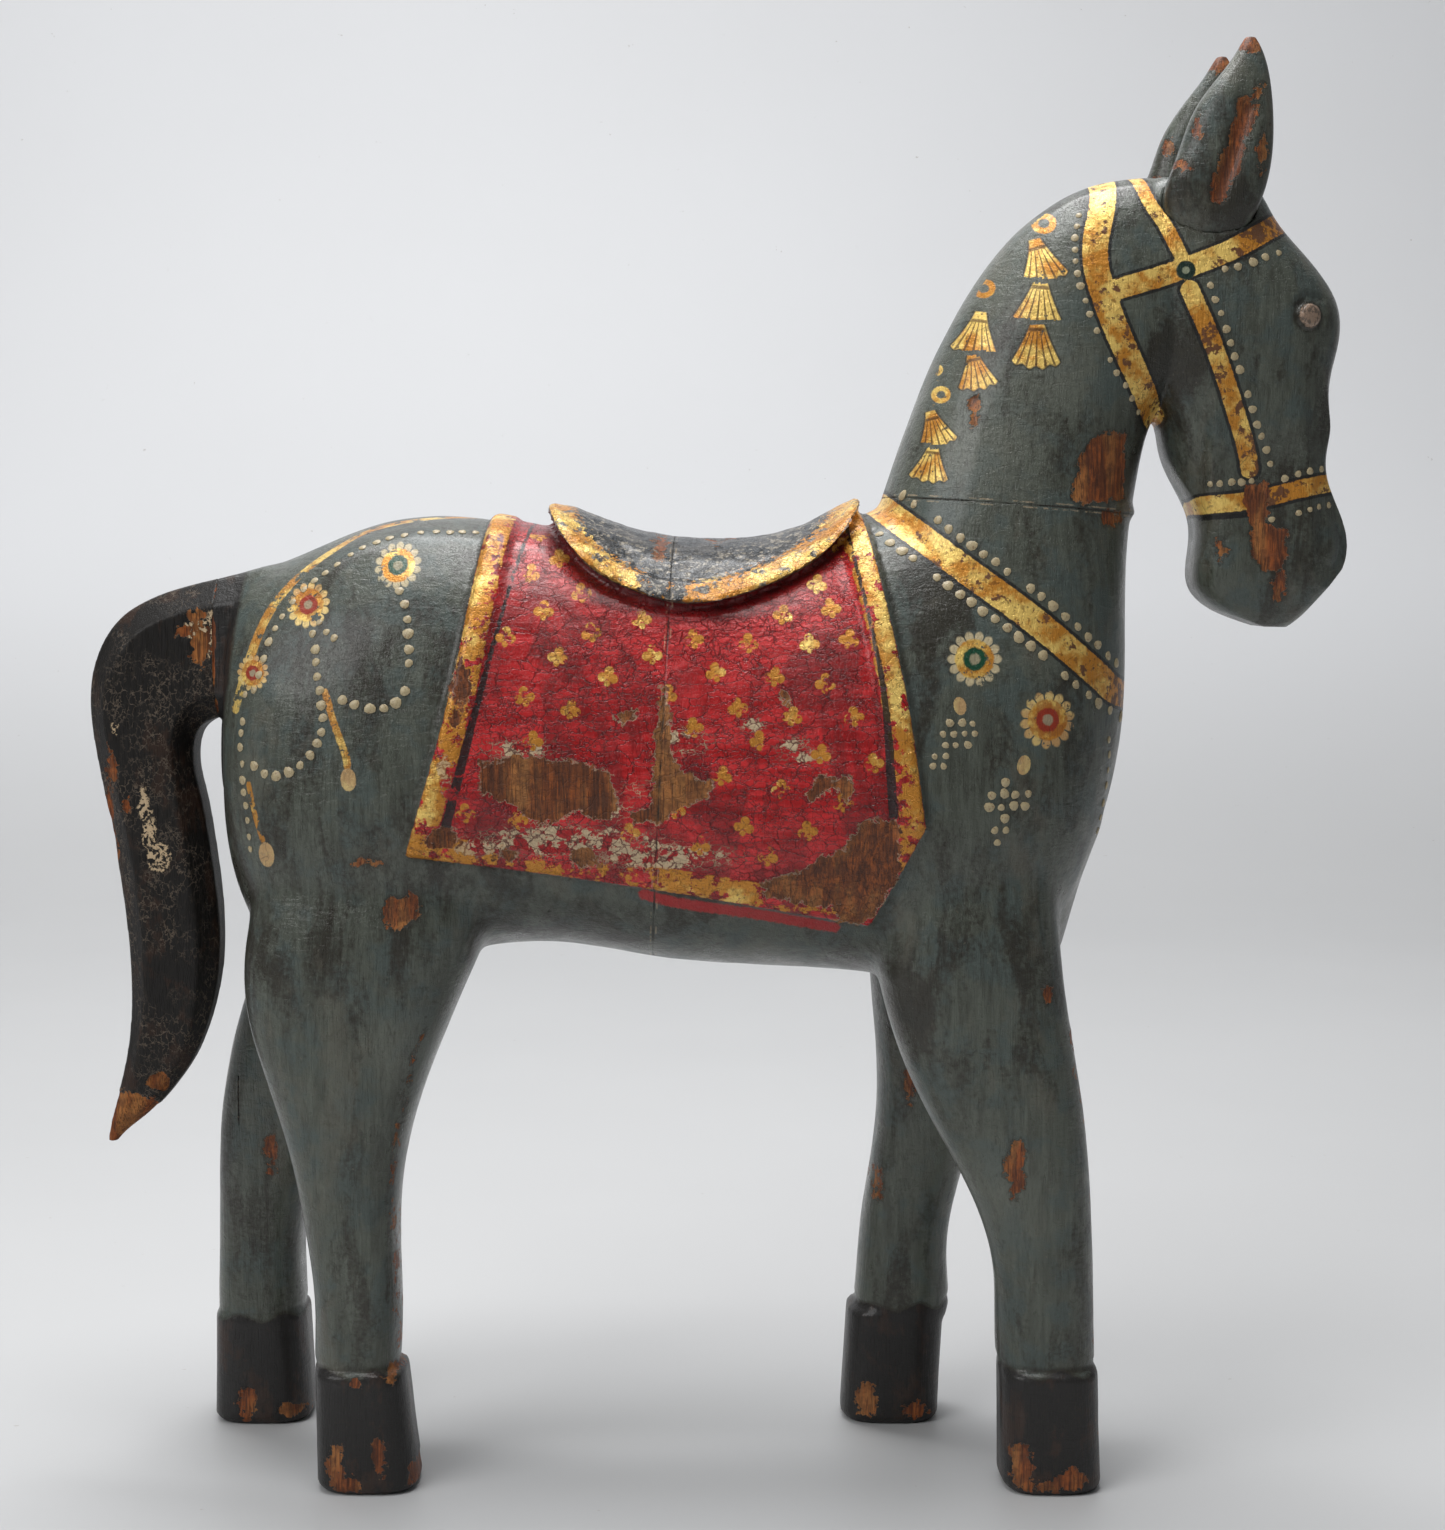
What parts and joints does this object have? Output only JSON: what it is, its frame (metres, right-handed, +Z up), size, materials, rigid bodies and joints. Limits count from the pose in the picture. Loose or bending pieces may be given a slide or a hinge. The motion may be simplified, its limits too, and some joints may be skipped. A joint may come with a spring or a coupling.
{
  "type": "painted wooden horse",
  "caption": "Standing carved wooden horse with staggered legs, arched neck, upright ears, hanging tail and a saddle and cloth carved in relief, worn paint.",
  "frame": {"origin": "on the ground, in the middle of the overall length and width", "axes": "+X towards the head, +Y the horse's left side, +Z up"},
  "size_m": [0.302, 0.0866, 0.34],
  "materials": {
    "painted_wood": "slate grey-green paint over gesso, varnished and worn",
    "black_painted_wood": "black paint over gesso, crackled and chipped",
    "bare_wood": "bare hardwood"
  },
  "bodies": {
    "root": {"hindquarter_block": "painted_wood", "forehand_block": "painted_wood", "neck_and_head": "painted_wood", "left_ear": "painted_wood", "right_ear": "painted_wood", "tail": "black_painted_wood", "upper_barrel_dowel": "bare_wood", "lower_barrel_dowel": "bare_wood", "front_neck_dowel": "bare_wood", "rear_neck_dowel": "bare_wood", "tail_dowel": "bare_wood"}
  },
  "joints": []
}
